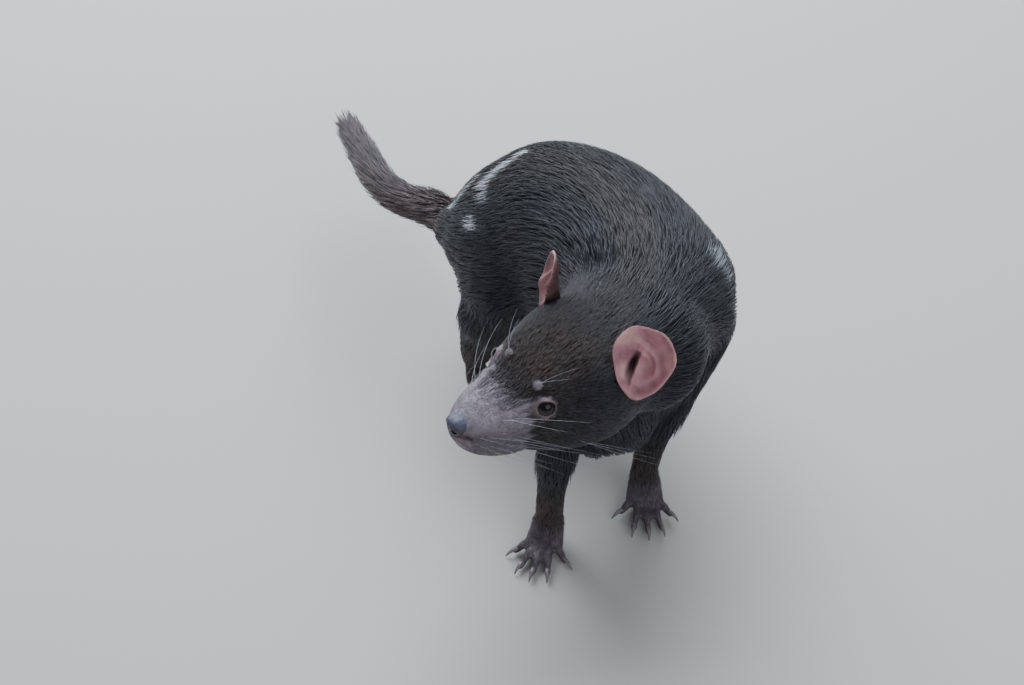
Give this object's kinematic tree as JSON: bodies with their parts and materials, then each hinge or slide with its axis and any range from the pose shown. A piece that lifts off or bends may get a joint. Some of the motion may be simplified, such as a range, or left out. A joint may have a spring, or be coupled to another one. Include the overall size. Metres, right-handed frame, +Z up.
{
  "type": "tasmanian devil model",
  "caption": "Life-size still model of a small adult Tasmanian devil, hunched and bent to one side on its feet, head turned to its right, round ears, bushy tail held out.",
  "frame": {"origin": "middle of the underside of the model's box, on the floor between the feet", "axes": "+Z up, the forefeet point to -Y and the tail to +Y, the head looks towards -X and -Y"},
  "size_m": [0.3298, 0.4416, 0.2644],
  "materials": {
    "coat": "near-black brown fur with a cool sheen and white flashes",
    "tail_coat": "long mauve-brown hair",
    "muzzle": "thinly haired mauve-grey skin",
    "nose": "moist pebbled dark skin",
    "ear": "almost bare pink-red skin",
    "eye": "wet gloss",
    "foot": "wrinkled purple-grey skin with short brown hair",
    "claw": "smooth pale horn"
  },
  "bodies": {
    "root": {"torso_front": "coat", "torso_rear": "coat", "neck": "coat", "head": "coat", "lower_jaw": "muzzle", "nose": "nose", "eye_left": "eye", "eye_right": "eye", "ear_left": "ear", "ear_right": "ear", "tail": "tail_coat", "front_left_upper_leg": "coat", "front_left_lower_leg": "coat", "front_left_foot": "foot", "front_left_claw_1": "claw", "front_left_claw_2": "claw", "front_left_claw_3": "claw", "front_left_claw_4": "claw", "front_left_claw_5": "claw", "front_right_upper_leg": "coat", "front_right_lower_leg": "coat", "front_right_foot": "foot", "front_right_claw_1": "claw", "front_right_claw_2": "claw", "front_right_claw_3": "claw", "front_right_claw_4": "claw", "front_right_claw_5": "claw", "hind_left_upper_leg": "coat", "hind_left_lower_leg": "coat", "hind_left_foot": "foot", "hind_left_claw_1": "claw", "hind_left_claw_2": "claw", "hind_left_claw_3": "claw", "hind_left_claw_4": "claw", "hind_right_upper_leg": "coat", "hind_right_lower_leg": "coat", "hind_right_foot": "foot", "hind_right_claw_1": "claw", "hind_right_claw_2": "claw", "hind_right_claw_3": "claw", "hind_right_claw_4": "claw"}
  },
  "joints": []
}
